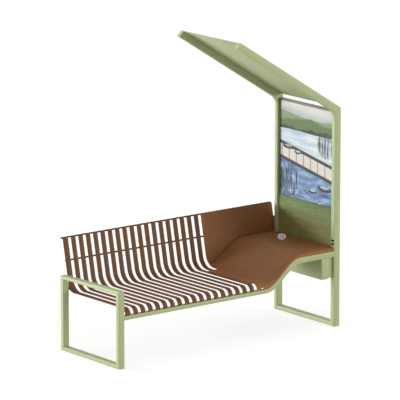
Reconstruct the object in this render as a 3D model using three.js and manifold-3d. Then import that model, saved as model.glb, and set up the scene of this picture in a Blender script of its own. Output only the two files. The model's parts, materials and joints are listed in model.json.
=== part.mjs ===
// Solar charging bench: a slatted steel seat between a low tube hoop and a tall tube portal.
// The portal bends over into a sloping canopy that carries the solar laminate, and it holds an
// illuminated poster, a side table with a phone charger, USB sockets and a battery box.
// Millimetres, +Z up. +X runs along the bench to the portal, +Y runs from the sitter's knees
// to the back. The origin is on the ground in the middle of the bounding box.
import * as THREE from 'three';
import { mergeVertices } from 'three/addons/utils/BufferGeometryUtils.js';
import Module from 'manifold-3d';

const wasm = await Module();
wasm.setup();

// Overall sizes
const benchLength = 2100;
const frameDepth = 722;
const fitGap = 0.3;
const cutOverrun = 10;

// Left hoop, a closed rectangle of tube
const hoopTubeWidth = 52;
const hoopPostDepth = 36;
const hoopSillHeight = 30;
const armFrontThickness = 30;
const armRearThickness = 25;
const hoopWall = 3;
const armFrontHeight = 585;
const armRearHeight = 570;
const mitreGap = 0.4;

// Portal tube and its bend into the canopy
const portalTubeWidth = 58;
const portalTubeDepth = 38;
const portalWall = 3;
const portalSillHeight = 34;
const bendHeight = 1695;
const canopySlope = THREE.MathUtils.degToRad(31.8);
const canopyLength = 1133;
const tipOverhang = 16;
const tipCapThickness = 3;
const outerBendRadius = 24;
const innerBendRadius = 90;
const bendSteps = 8;

// Canopy skins, measured down from the top of the rails
const solarGlassThickness = 2.7;
const solarLaminateThickness = 1;
const soffitThickness = 3;
const canopyLowerStart = 24;

// Seat and back, all of one bent profile
const plateThickness = 3;
const railTop = 393;
const railHeight = 31;
const railDepth = 36;
const railWall = 2.5;
const slatFace = 1;
const seatFrontHeight = 448;
const seatTilt = THREE.MathUtils.degToRad(0.3);
const tableHeight = 620;
const backFoot = 727;
const backLean = THREE.MathUtils.degToRad(12);
const backTop = 843;
const seatBendRadius = 100;
const tableBendRadius = 14;
const curlLand = 5;
const profileSteps = 8;

// Slats
const firstSlatStart = 62;
const firstSlatWidth = 48;
const slatWidth = 41;
const slatGap = 27;
const lastSlatEnd = 565;

// Shell and its ramp up to the table
const tableLength = 330;
const rampLength = 340;
const rampStations = 12;
const rearRampLead = 46;
const rearRampLag = 32;
const bandLag = 14;
const creaseFadeLength = 100;
const apronTop = 590;
const apronHeight = 44;
const apronDepth = 36;
const bandWall = 4;
const shellPastPost = 16;
const shellCornerRadius = 20;
const frontSlotDepth = 40;
const lastSlotHeight = 9;
const lastSlotWidth = 28;

// Flat bars that tie the slats together
const backBarHeight = 12;
const backBarThickness = 7.4;
const topBarOverhang = 12;
const midBarTop = 676.5;

// Brackets that hold the back to the two frames
const leftBracketFront = 612;
const leftBracketPostLow = 462;
const leftBracketRearLow = 470;
const leftBracketTop = 540;
const rightBracketLow = 640;
const rightBracketHigh = 735;

// Portal panel and the light box above it
const panelInset = 14;
const panelThickness = 3;
const boxUnderside = 384;
const lightBoxBottom = 917;
const lightBoxTop = 1670;
const bezelWidth = 12;
const profileWall = 3;
const lightBoxRearInset = 1;
const doorSeatDepth = 6.7;
const doorSeatThickness = 2.7;
const doorSeatWidth = 9;
const glazingThickness = 3;
const posterThickness = 0.6;
const lightPanelThickness = 8;
const posterDoorThickness = 3;
const posterDoorGap = 1;

// Battery box, the controller housing beside it and what they hold
const batteryBoxToPost = 122;
const batteryBoxWidth = 66;
const batteryBoxDepth = 600;
const boxWall = 2;
const housingSetback = 18;
const housingDepth = 400;
const batteryDoorThickness = 2;
const batteryDoorGap = 0.5;
const batteryFlangeThickness = 1.5;
const batteryFlangeWidth = 6;
const batteryPackWidth = 55;
const batteryPackLength = 320;
const batteryPackHeight = 134;
const batteryPackFront = 60;
const controllerWidth = 42;
const controllerLength = 130;
const controllerHeight = 64;
const controllerFront = 100;

// Quarter-turn locks
const lockSides = 24;
const posterLockRadius = 8;
const posterLockHeight = 1290;
const posterLockInset = 20;
const posterLockLength = 11;
const posterLockRecess = 0.6;
const posterCamStart = 3;
const camThickness = 3;
const posterCamLength = 18;
const camWidth = 12;
const batteryLockRadius = 7;
const batteryLockInset = 15;
const batteryLockPlace = 300;
const batteryLockLength = 12;
const batteryCamStart = 5;
const batteryCamLength = 12;
const batteryCamWidth = 9;

// USB sockets in the portal's front post
const socketWidth = 31;
const socketHeight = 15;
const socketDepth = 14;
const socketRecess = 0.5;
const upperSocketHeight = 670;
const lowerSocketHeight = 643;
const portWidth = 12.5;
const portHeight = 5;
const portDepth = 8;

// Phone charger, a tilted puck at the rear of the table
const chargerRadius = 32;
const chargerPadRadius = 20;
const chargerPadThickness = 1.2;
const chargerPadProud = 0.3;
const chargerToPost = 133;
const chargerY = 465;
const chargerFaceHeight = 21;
const chargerTilt = THREE.MathUtils.degToRad(35.5);
const chargerTurn = THREE.MathUtils.degToRad(38);
const chargerDepth = 80;
const chargerSides = 40;

// Values worked out from the ones above
const postFaceX = benchLength - portalTubeWidth;
const panelX = postFaceX + panelInset;
const innerFront = portalTubeDepth + fitGap;
const innerRear = frameDepth - portalTubeDepth - fitGap;
const shellEnd = postFaceX + shellPastPost;
const batteryBoxStart = postFaceX - batteryBoxToPost;
const chargerX = postFaceX - chargerToPost;
const rampStart = postFaceX - tableLength - rampLength;
const rampEnd = rampStart + rampLength;
const slatPitch = slatWidth + slatGap;
const secondSlatStart = firstSlatStart + firstSlatWidth + slatGap;
const slatCount = Math.floor((rampStart - slatPitch - secondSlatStart) / slatPitch) + 2;
const slatStart = (index) => (index === 0 ? firstSlatStart : secondSlatStart + (index - 1) * slatPitch);
const slatEnd = (index) => slatStart(index) + (index === 0 ? firstSlatWidth : slatWidth);
const shellStart = slatEnd(slatCount - 2) + fitGap;
const shellBackStart = slatEnd(slatCount - 1) + slatGap;
const railBottom = railTop - railHeight;
const apronBottom = apronTop - apronHeight;
const seatRearHeight = seatFrontHeight - backFoot * Math.tan(seatTilt);
const rearRampStart = rampStart - rearRampLead;
const rearRampEnd = rampEnd + rearRampLag;
const leanRun = Math.tan(backLean);
const leanSine = Math.sin(backLean);
const leanCosine = Math.cos(backLean);

// Surface finishes
const greenPaint = () => new THREE.MeshStandardMaterial({ color: 0xa5ac85, roughness: 0.5, metalness: 0.1 });
const brownPaint = () => new THREE.MeshStandardMaterial({ color: 0x7d5640, roughness: 0.55, metalness: 0.1 });
const darkSteel = () => new THREE.MeshStandardMaterial({ color: 0x2b211c, roughness: 0.5, metalness: 0.5 });
const greyPaint = () => new THREE.MeshStandardMaterial({ color: 0x5c5952, roughness: 0.5, metalness: 0.4 });
const blackPlastic = () => new THREE.MeshStandardMaterial({ color: 0x101010, roughness: 0.5 });
const palePlastic = () => new THREE.MeshStandardMaterial({ color: 0xd8d0c8, roughness: 0.4 });
const padPlastic = () => new THREE.MeshStandardMaterial({ color: 0x8f8f95, roughness: 0.5 });
const zincSteel = () => new THREE.MeshStandardMaterial({ color: 0xb8bcc0, roughness: 0.35, metalness: 0.9 });
const posterPaper = () => new THREE.MeshStandardMaterial({ color: 0xb4bcb8, roughness: 0.7 });
const clearSheet = () => {
  return new THREE.MeshStandardMaterial({ color: 0xeef3f5, roughness: 0.08, transparent: true, opacity: 0.25 });
};
const solarCell = () => new THREE.MeshStandardMaterial({ color: 0x131c38, roughness: 0.3, metalness: 0.2 });
const diffuserPlastic = () => new THREE.MeshStandardMaterial({ color: 0xf0f0ec, roughness: 0.6 });

// Turns a closed geometry into a solid that can be joined and cut
function solid(geometry) {
  geometry.deleteAttribute('normal');
  geometry.deleteAttribute('uv');
  const welded = mergeVertices(geometry, 1e-5);
  return new wasm.Manifold(new wasm.Mesh({
    numProp: 3,
    vertProperties: new Float32Array(welded.attributes.position.array),
    triVerts: new Uint32Array(welded.index.array),
  }));
}

// A straight-sided solid block between two corners
function block(x0, x1, y0, y1, z0, z1) {
  const geometry = new THREE.BoxGeometry(x1 - x0, y1 - y0, z1 - z0);
  geometry.translate((x0 + x1) / 2, (y0 + y1) / 2, (z0 + z1) / 2);
  return solid(geometry);
}

function extrude(points, from, to, matrix) {
  const shape = new THREE.Shape(points.map(([a, b]) => new THREE.Vector2(a, b)));
  const geometry = new THREE.ExtrudeGeometry(shape, { depth: to - from, bevelEnabled: false });
  geometry.translate(0, 0, from);
  geometry.applyMatrix4(matrix);
  return solid(geometry);
}

const xAxis = new THREE.Vector3(1, 0, 0);
const yAxis = new THREE.Vector3(0, 1, 0);
const zAxis = new THREE.Vector3(0, 0, 1);
const alongX = new THREE.Matrix4().makeBasis(yAxis, zAxis, xAxis);
const alongY = new THREE.Matrix4().makeBasis(zAxis, xAxis, yAxis);
const alongZ = new THREE.Matrix4();

// Outlines in the side plane are [y, z], in the front plane [x, z], and in plan [x, y]
const sideSolid = (points, x0, x1) => extrude(points, x0, x1, alongX);
const frontSolid = (points, y0, y1) => extrude(points.map(([x, z]) => [z, x]), y0, y1, alongY);
const planSolid = (points, z0, z1) => extrude(points, z0, z1, alongZ);

// A round bar from one point along a direction
function roundBar(start, direction, length, radius, sides) {
  const geometry = new THREE.CylinderGeometry(radius, radius, length, sides);
  geometry.translate(0, length / 2, 0);
  const turn = new THREE.Quaternion().setFromUnitVectors(yAxis, direction.clone().normalize());
  geometry.applyQuaternion(turn);
  geometry.translate(start.x, start.y, start.z);
  return solid(geometry);
}

const group = new THREE.Group();

// Adds a finished solid to the bench under its own name
function addPiece(name, body, material) {
  const { vertProperties, triVerts } = body.getMesh();
  const geometry = new THREE.BufferGeometry();
  geometry.setAttribute('position', new THREE.BufferAttribute(new Float32Array(vertProperties), 3));
  geometry.setIndex(new THREE.BufferAttribute(new Uint32Array(triVerts), 1));
  geometry.computeVertexNormals();
  const mesh = new THREE.Mesh(geometry, material);
  mesh.name = name;
  group.add(mesh);
}

// Points of an arc that rounds a corner between two straight stretches
function roundCorner(before, corner, after, radius, steps) {
  const origin = new THREE.Vector2(...corner);
  const toBefore = new THREE.Vector2(...before).sub(origin).normalize();
  const toAfter = new THREE.Vector2(...after).sub(origin).normalize();
  const halfAngle = Math.acos(toBefore.dot(toAfter)) / 2;
  const bisector = toBefore.clone().add(toAfter).normalize();
  const centre = origin.clone().addScaledVector(bisector, radius / Math.sin(halfAngle));
  const start = origin.clone().addScaledVector(toBefore, radius / Math.tan(halfAngle)).sub(centre);
  const end = origin.clone().addScaledVector(toAfter, radius / Math.tan(halfAngle)).sub(centre);
  const sweep = Math.atan2(start.cross(end), start.dot(end));
  const points = [];
  for (let step = 0; step <= steps; step += 1) {
    const point = start.clone().rotateAround(new THREE.Vector2(), (sweep * step) / steps).add(centre);
    points.push([point.x, point.y]);
  }
  return points;
}

// Smooth rise from 0 to 1 over the ramp that lifts the seat to the table
function rise(x, start, length) {
  const share = THREE.MathUtils.clamp((x - start) / length, 0, 1);
  return (1 - Math.cos(Math.PI * share)) / 2;
}

const bandTopAt = (x) => railTop + (apronTop - railTop) * rise(x, rampStart, rampLength);
const bandBottomAt = (x) => railBottom + (apronBottom - railBottom) * rise(x, rampStart + bandLag, rampLength);

// Side profile of the seat at one place along the bench, from the front edge up to the top of
// the back. An inset of nothing gives the sitter's side of the plate. The ramp is longer at the
// foot of the back than along the front edge.
function seatProfile(x, inset) {
  const level = seatFrontHeight + (tableHeight - seatFrontHeight) * rise(x, rampStart, rampLength);
  const rearLift = rise(x, rearRampStart, rearRampEnd - rearRampStart);
  const rearLevel = seatRearHeight + (tableHeight - seatRearHeight) * rearLift;
  const tilt = Math.atan2(level - rearLevel, backFoot);
  const bend = seatBendRadius + (tableBendRadius - seatBendRadius) * rise(x, rampStart, creaseFadeLength);
  const foot = bandTopAt(x) + fitGap;
  const curl = level - foot - curlLand;
  const face = slatFace + inset;
  const seatAt = (y) => level - y * Math.tan(tilt) - inset / Math.cos(tilt);
  const backAt = (z) => backFoot + (z - tableHeight) * leanRun + inset / leanCosine;
  let corner = [backFoot, seatAt(backFoot)];
  for (let pass = 0; pass < profileSteps; pass += 1) {
    corner = [backAt(corner[1]), seatAt(corner[0])];
  }
  const frontCorner = [face, seatAt(face)];
  const top = [backAt(backTop), backTop];
  return [
    [face, foot],
    ...roundCorner([face, foot], frontCorner, corner, curl - inset, profileSteps),
    ...roundCorner(frontCorner, corner, top, bend + inset, profileSteps),
    top,
  ];
}

const backFaceAt = (z) => backFoot + (z - tableHeight) * leanRun;

// Left hoop

// One mitred tube of the hoop between two corners of its outline
function hoopTube(name, outerStart, outerEnd, innerEnd, innerStart) {
  const along = new THREE.Vector2(...outerEnd).sub(new THREE.Vector2(...outerStart)).normalize();
  const across = new THREE.Vector2(...innerStart).sub(new THREE.Vector2(...outerStart));
  across.addScaledVector(along, -across.dot(along)).normalize();
  const move = ([y, z], alongBy, acrossBy) => [
    y + along.x * alongBy + across.x * acrossBy,
    z + along.y * alongBy + across.y * acrossBy,
  ];
  const skin = [
    move(outerStart, mitreGap, 0),
    move(outerEnd, -mitreGap, 0),
    move(innerEnd, -mitreGap, 0),
    move(innerStart, mitreGap, 0),
  ];
  const bore = [
    move(outerStart, -hoopPostDepth, hoopWall),
    move(outerEnd, hoopPostDepth, hoopWall),
    move(innerEnd, hoopPostDepth, -hoopWall),
    move(innerStart, -hoopPostDepth, -hoopWall),
  ];
  const outside = sideSolid(skin, 0, hoopTubeWidth);
  const inside = sideSolid(bore, hoopWall, hoopTubeWidth - hoopWall);
  addPiece(name, outside.subtract(inside), greenPaint());
}

function buildLeftHoop() {
  const armSlope = Math.atan2(armRearHeight - armFrontHeight, frameDepth);
  const armAt = (y) => armFrontHeight + y * Math.tan(armSlope);
  const front = hoopPostDepth;
  const rear = frameDepth - hoopPostDepth;
  const outline = [[0, 0], [frameDepth, 0], [frameDepth, armAt(frameDepth)], [0, armAt(0)]];
  const window = [
    [front, hoopSillHeight],
    [rear, hoopSillHeight],
    [rear, armAt(rear) - armRearThickness],
    [front, armAt(front) - armFrontThickness],
  ];
  const names = ['left_sill', 'left_rear_post', 'left_arm_rail', 'left_front_post'];
  names.forEach((name, index) => {
    const next = (index + 1) % names.length;
    hoopTube(name, outline[index], outline[next], window[next], window[index]);
  });
}

// Portal and canopy

// A point of the canopy from its distance up the slope and its depth below the top face
function canopyPoint(distance, depth) {
  return [
    benchLength - distance * Math.cos(canopySlope) - depth * Math.sin(canopySlope),
    bendHeight + distance * Math.sin(canopySlope) - depth * Math.cos(canopySlope),
  ];
}

const tipAt = (depth) => canopyLength + (tipOverhang * depth) / portalTubeWidth;

// Outline of one bent portal tube, inset by its wall for the bore
function portalOutline(inset, foot, tipExtra) {
  const lowerEdge = portalTubeWidth - inset;
  const [tipLowX, tipLowZ] = canopyPoint(tipAt(lowerEdge) + tipExtra, lowerEdge);
  const tipHigh = canopyPoint(tipAt(inset) + tipExtra, inset);
  const innerX = postFaceX + inset;
  const innerCorner = [innerX, tipLowZ - (innerX - tipLowX) * Math.tan(canopySlope)];
  const outerX = benchLength - inset;
  const outerCorner = [outerX, tipHigh[1] - (outerX - tipHigh[0]) * Math.tan(canopySlope)];
  const innerFoot = [innerX, foot];
  const outerFoot = [outerX, foot];
  const tipLow = [tipLowX, tipLowZ];
  return [
    innerFoot,
    ...roundCorner(innerFoot, innerCorner, tipLow, innerBendRadius + inset, bendSteps),
    tipLow,
    tipHigh,
    ...roundCorner(tipHigh, outerCorner, outerFoot, outerBendRadius - inset, bendSteps),
    outerFoot,
  ];
}

function portalTube(y0) {
  const y1 = y0 + portalTubeDepth;
  const outside = frontSolid(portalOutline(0, 0, -tipCapThickness - fitGap), y0, y1);
  const bore = portalOutline(portalWall, -cutOverrun, portalTubeWidth);
  return outside.subtract(frontSolid(bore, y0 + portalWall, y1 - portalWall));
}

function tipCap(y0) {
  const outline = [
    canopyPoint(tipAt(0) - tipCapThickness, 0),
    canopyPoint(tipAt(0), 0),
    canopyPoint(tipAt(portalTubeWidth), portalTubeWidth),
    canopyPoint(tipAt(portalTubeWidth) - tipCapThickness, portalTubeWidth),
  ];
  return frontSolid(outline, y0, y0 + portalTubeDepth);
}

// Opening for one USB socket in the inner face of the front post
function socketOpening(height) {
  const middle = portalTubeDepth / 2;
  const halfWidth = socketWidth / 2 + fitGap;
  const halfHeight = socketHeight / 2 + fitGap;
  return block(
    postFaceX - cutOverrun, postFaceX + portalWall + fitGap,
    middle - halfWidth, middle + halfWidth,
    height - halfHeight, height + halfHeight,
  );
}

function buildPortal() {
  const rearStart = frameDepth - portalTubeDepth;
  const frontPost = portalTube(0)
    .subtract(socketOpening(upperSocketHeight))
    .subtract(socketOpening(lowerSocketHeight));
  addPiece('portal_front_post', frontPost, greenPaint());
  addPiece('portal_rear_post', portalTube(rearStart), greenPaint());
  addPiece('front_rail_cap', tipCap(0), greenPaint());
  addPiece('rear_rail_cap', tipCap(rearStart), greenPaint());
  const sill = block(postFaceX, benchLength, portalTubeDepth, rearStart, 0, portalSillHeight);
  const sillBore = block(
    postFaceX + portalWall, benchLength - portalWall,
    portalTubeDepth - cutOverrun, rearStart + cutOverrun,
    portalWall, portalSillHeight - portalWall,
  );
  addPiece('portal_sill', sill.subtract(sillBore), greenPaint());
}

// One flat skin of the canopy between the rails, from a depth below their top face
function canopySkin(depth, thickness) {
  const outline = [
    canopyPoint(canopyLowerStart, depth),
    canopyPoint(canopyLength, depth),
    canopyPoint(canopyLength, depth + thickness),
    canopyPoint(canopyLowerStart, depth + thickness),
  ];
  return frontSolid(outline, innerFront, innerRear);
}

function buildCanopy() {
  const laminateDepth = solarGlassThickness + fitGap;
  const soffitDepth = laminateDepth + solarLaminateThickness + fitGap;
  addPiece('solar_glass', canopySkin(0, solarGlassThickness), clearSheet());
  addPiece('solar_laminate', canopySkin(laminateDepth, solarLaminateThickness), solarCell());
  addPiece('canopy_soffit', canopySkin(soffitDepth, soffitThickness), greenPaint());
}

// Seat rail, ramp band and table apron along the front edge

function buildFrontEdge() {
  const rail = block(hoopTubeWidth, rampStart, 0, railDepth, railBottom, railTop);
  const railBore = block(
    hoopTubeWidth - cutOverrun, rampStart + cutOverrun,
    railWall, railDepth - railWall,
    railBottom + railWall, railTop - railWall,
  );
  addPiece('front_rail', rail.subtract(railBore), greenPaint());

  const upper = [];
  const lower = [];
  const channelUpper = [];
  const channelLower = [];
  for (let station = 0; station <= rampStations; station += 1) {
    const x = rampStart + (rampLength * station) / rampStations;
    upper.push([x, bandTopAt(x)]);
    lower.unshift([x, bandBottomAt(x)]);
    const boreX = x + (station === 0 ? -cutOverrun : 0) + (station === rampStations ? cutOverrun : 0);
    channelUpper.push([boreX, bandTopAt(x) - bandWall]);
    channelLower.unshift([boreX, bandBottomAt(x) + bandWall]);
  }
  const band = frontSolid([...upper, ...lower], 0, railDepth);
  const channel = frontSolid([...channelUpper, ...channelLower], bandWall, railDepth + cutOverrun);
  addPiece('ramp_band', band.subtract(channel), greenPaint());

  const apronStartBottom = bandBottomAt(rampEnd);
  const apronOutline = [
    [rampEnd, apronTop],
    [postFaceX, apronTop],
    [postFaceX, apronBottom],
    [rampEnd + bandLag, apronBottom],
    [rampEnd, apronStartBottom],
  ];
  const apron = frontSolid(apronOutline, 0, apronDepth);
  const apronChannel = block(
    rampEnd - cutOverrun, postFaceX + cutOverrun,
    bandWall, apronDepth + cutOverrun,
    apronBottom + bandWall, apronTop - bandWall,
  );
  addPiece('table_apron', apron.subtract(apronChannel), greenPaint());
}

// Slats

function buildSlats() {
  for (let index = 0; index < slatCount; index += 1) {
    const start = slatStart(index);
    const upper = seatProfile(start, 0);
    const lower = seatProfile(start, plateThickness).reverse();
    let slat = sideSolid([...upper, ...lower], start, slatEnd(index));
    if (index === slatCount - 1) {
      slat = slat.subtract(block(
        start - cutOverrun, slatEnd(index) + cutOverrun,
        -cutOverrun, lastSlatEnd + fitGap,
        0, tableHeight,
      ));
    }
    const label = String(index + 1).padStart(2, '0');
    addPiece(`slat_${label}`, slat, brownPaint());
  }
}

// Moulded shell

// Closed skin between two grids of points with the same layout
function gridSolid(upper, lower) {
  const rows = upper.length;
  const columns = upper[0].length;
  const positions = [...upper.flat(2), ...lower.flat(2)];
  const indices = [];
  const at = (layer, row, column) => layer * rows * columns + row * columns + column;
  const quad = (a, b, c, d) => indices.push(a, b, c, a, c, d);
  for (let row = 0; row < rows - 1; row += 1) {
    for (let column = 0; column < columns - 1; column += 1) {
      quad(at(0, row, column), at(0, row + 1, column), at(0, row + 1, column + 1), at(0, row, column + 1));
      quad(at(1, row, column), at(1, row, column + 1), at(1, row + 1, column + 1), at(1, row + 1, column));
    }
    quad(at(0, row, 0), at(1, row, 0), at(1, row + 1, 0), at(0, row + 1, 0));
    const last = columns - 1;
    quad(at(0, row, last), at(0, row + 1, last), at(1, row + 1, last), at(1, row, last));
  }
  for (let column = 0; column < columns - 1; column += 1) {
    const last = rows - 1;
    quad(at(0, 0, column), at(0, 0, column + 1), at(1, 0, column + 1), at(1, 0, column));
    quad(at(0, last, column), at(1, last, column), at(1, last, column + 1), at(0, last, column + 1));
  }
  const geometry = new THREE.BufferGeometry();
  geometry.setAttribute('position', new THREE.BufferAttribute(new Float32Array(positions), 3));
  geometry.setIndex(indices);
  return solid(geometry);
}

function buildShell() {
  const stations = [shellStart, rearRampStart, shellBackStart];
  for (let station = 0; station <= rampStations; station += 1) {
    stations.push(rampStart + (rampLength * station) / rampStations);
  }
  stations.push((rampEnd + rearRampEnd) / 2, rearRampEnd, shellEnd);
  const surface = (inset) => stations.map((x) => seatProfile(x, inset).map(([y, z]) => [x, y, z]));
  const farBehind = frameDepth + seatBendRadius;
  const farAbove = backTop + cutOverrun;
  let shell = gridSolid(surface(0), surface(plateThickness));

  const besideBack = block(
    shellStart - cutOverrun, shellBackStart, lastSlatEnd, farBehind, 0, farAbove,
  );
  const frontSlot = block(
    shellStart - cutOverrun, slatStart(slatCount - 1), -cutOverrun, frontSlotDepth, 0, farAbove,
  );
  const lastSlot = block(
    shellBackStart - lastSlotWidth, shellBackStart, -cutOverrun, railDepth,
    0, railTop + lastSlotHeight,
  );
  const rearPost = block(
    postFaceX - fitGap, benchLength + fitGap,
    frameDepth - portalTubeDepth - fitGap, frameDepth + fitGap, 0, farAbove,
  );
  const frontPost = block(postFaceX - fitGap, benchLength, -cutOverrun, innerFront, 0, farAbove);
  const panel = block(panelX - fitGap, benchLength, 0, frameDepth + fitGap, 0, farAbove);
  const cornerStart = [shellEnd - shellCornerRadius, backTop];
  const corner = [shellEnd, backTop];
  const cornerEnd = [shellEnd, backTop - shellCornerRadius];
  const cornerArc = roundCorner(cornerStart, corner, cornerEnd, shellCornerRadius, profileSteps);
  const beyondCorner = frontSolid(
    [...cornerArc, [shellEnd + cutOverrun, cornerEnd[1]],
      [shellEnd + cutOverrun, farAbove], [cornerStart[0], farAbove]],
    frameDepth, farBehind,
  );
  for (const cut of [besideBack, frontSlot, lastSlot, rearPost, frontPost, panel, beyondCorner]) {
    shell = shell.subtract(cut);
  }
  addPiece('seat_shell', shell, brownPaint());
}

// Bars and brackets behind the back

// A flat bar against the rear of the back, leaning as the back does, from its top edge down
function backBar(start, end, top) {
  const frontTop = new THREE.Vector2(backFaceAt(top) + (plateThickness + fitGap) / leanCosine, top);
  const downward = new THREE.Vector2(-leanSine, -leanCosine);
  const rearward = new THREE.Vector2(leanCosine, -leanSine);
  const corner = (down, back) => {
    return frontTop.clone().addScaledVector(downward, down).addScaledVector(rearward, back).toArray();
  };
  const outline = [
    corner(0, 0),
    corner(backBarHeight, 0),
    corner(backBarHeight, backBarThickness),
    corner(0, backBarThickness),
  ];
  return sideSolid(outline, start, end);
}

function buildBackSupports() {
  const topBar = backBar(firstSlatStart - topBarOverhang, shellEnd - shellCornerRadius, backTop);
  addPiece('back_top_bar', topBar, darkSteel());
  addPiece('back_mid_bar', backBar(firstSlatStart, shellEnd, midBarTop), darkSteel());

  const slatFaces = seatProfile(firstSlatStart, 0).filter(([y, z]) => y > leftBracketFront && z < leftBracketTop);
  const slatUnders = seatProfile(firstSlatStart, plateThickness);
  const bendStart = slatUnders.find(([y]) => y > leftBracketFront);
  const leftOutline = [
    bendStart,
    [frameDepth - hoopPostDepth, leftBracketPostLow],
    [frameDepth, leftBracketRearLow],
    [frameDepth, leftBracketTop],
    [backFaceAt(leftBracketTop), leftBracketTop],
    ...slatFaces.reverse(),
  ];
  addPiece('left_back_bracket', sideSolid(leftOutline, hoopTubeWidth, firstSlatStart), brownPaint());

  const rightOutline = [
    [frameDepth, rightBracketLow],
    [backFaceAt(rightBracketLow) - fitGap, rightBracketLow],
    [backFaceAt(rightBracketHigh) - fitGap, rightBracketHigh],
    [frameDepth, rightBracketHigh],
  ];
  addPiece('right_back_bracket', sideSolid(rightOutline, postFaceX, shellEnd), brownPaint());
}

// Portal panel and light box

function buildLightBox() {
  const rearX = benchLength - lightBoxRearInset;
  const lipEnd = panelX + profileWall;
  const seatEnd = rearX - posterDoorThickness - fitGap;
  const seatStart = seatEnd - doorSeatThickness;
  const wallFront = innerFront + profileWall;
  const wallRear = innerRear - profileWall;
  const low = lightBoxBottom + fitGap;
  const wallLow = low + profileWall;
  const wallHigh = lightBoxTop - profileWall;
  const bezelFront = innerFront + bezelWidth;
  const bezelRear = innerRear - bezelWidth;

  const panel = block(panelX, panelX + panelThickness, innerFront, innerRear, boxUnderside, lightBoxBottom);
  addPiece('portal_panel', panel, greenPaint());

  const frontSide = block(panelX, rearX, innerFront, wallFront, low, lightBoxTop)
    .add(block(panelX, lipEnd, innerFront, bezelFront, low, lightBoxTop))
    .add(block(seatStart, seatEnd, innerFront, wallFront + doorSeatWidth, low, lightBoxTop));
  addPiece('light_box_front_side', frontSide, greyPaint());

  const rearSide = block(panelX, rearX, wallRear, innerRear, low, lightBoxTop)
    .add(block(panelX, lipEnd, bezelRear, innerRear, low, lightBoxTop));
  addPiece('light_box_rear_side', rearSide, greyPaint());

  const crossBar = (wallStart, wallEnd, lipLow, lipHigh) => {
    return block(panelX, rearX, wallFront + doorSeatWidth, wallRear, wallStart, wallEnd)
      .add(block(panelX, seatStart, wallFront, wallRear, wallStart, wallEnd))
      .add(block(panelX, lipEnd, bezelFront, bezelRear, lipLow, lipHigh))
      .subtract(block(panelX, lipEnd, 0, bezelFront, lipLow, lipHigh))
      .subtract(block(panelX, lipEnd, bezelRear, frameDepth, lipLow, lipHigh));
  };
  const topBar = crossBar(wallHigh, lightBoxTop, lightBoxTop - bezelWidth, lightBoxTop);
  addPiece('light_box_top', topBar, greyPaint());
  addPiece('light_box_bottom', crossBar(low, wallLow, low, wallLow), greyPaint());

  const sheet = (start, thickness) => block(
    start, start + thickness,
    wallFront + fitGap, wallRear - fitGap,
    wallLow + fitGap, wallHigh - fitGap,
  );
  const glazingStart = lipEnd + fitGap;
  const posterStart = glazingStart + glazingThickness + fitGap;
  const lightPanelStart = posterStart + posterThickness + fitGap;
  addPiece('poster_glazing', sheet(glazingStart, glazingThickness), clearSheet());
  addPiece('poster_print', sheet(posterStart, posterThickness), posterPaper());
  addPiece('light_panel', sheet(lightPanelStart, lightPanelThickness), diffuserPlastic());

  const lockY = wallFront + posterLockInset;
  const lockFace = rearX - posterLockRecess;
  const lockStart = new THREE.Vector3(lockFace - posterLockLength, lockY, posterLockHeight);
  const doorHole = new THREE.Vector3(rearX - cutOverrun, lockY, posterLockHeight);
  const door = block(
    rearX - posterDoorThickness, rearX,
    wallFront + posterDoorGap, wallRear - posterDoorGap,
    wallLow + posterDoorGap, wallHigh - posterDoorGap,
  ).subtract(roundBar(doorHole, xAxis, 2 * cutOverrun, posterLockRadius + fitGap, lockSides));
  addPiece('poster_door', door, greenPaint());

  const camStart = lockStart.x + posterLockRecess;
  const lock = roundBar(lockStart, xAxis, posterLockLength, posterLockRadius, lockSides)
    .add(block(
      camStart, camStart + posterCamStart,
      lockY - camWidth / 2, lockY + camWidth / 2,
      posterLockHeight, posterLockHeight + posterCamLength,
    ));
  addPiece('poster_door_lock', lock, zincSteel());
}

// Battery box and controller housing under the table

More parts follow.
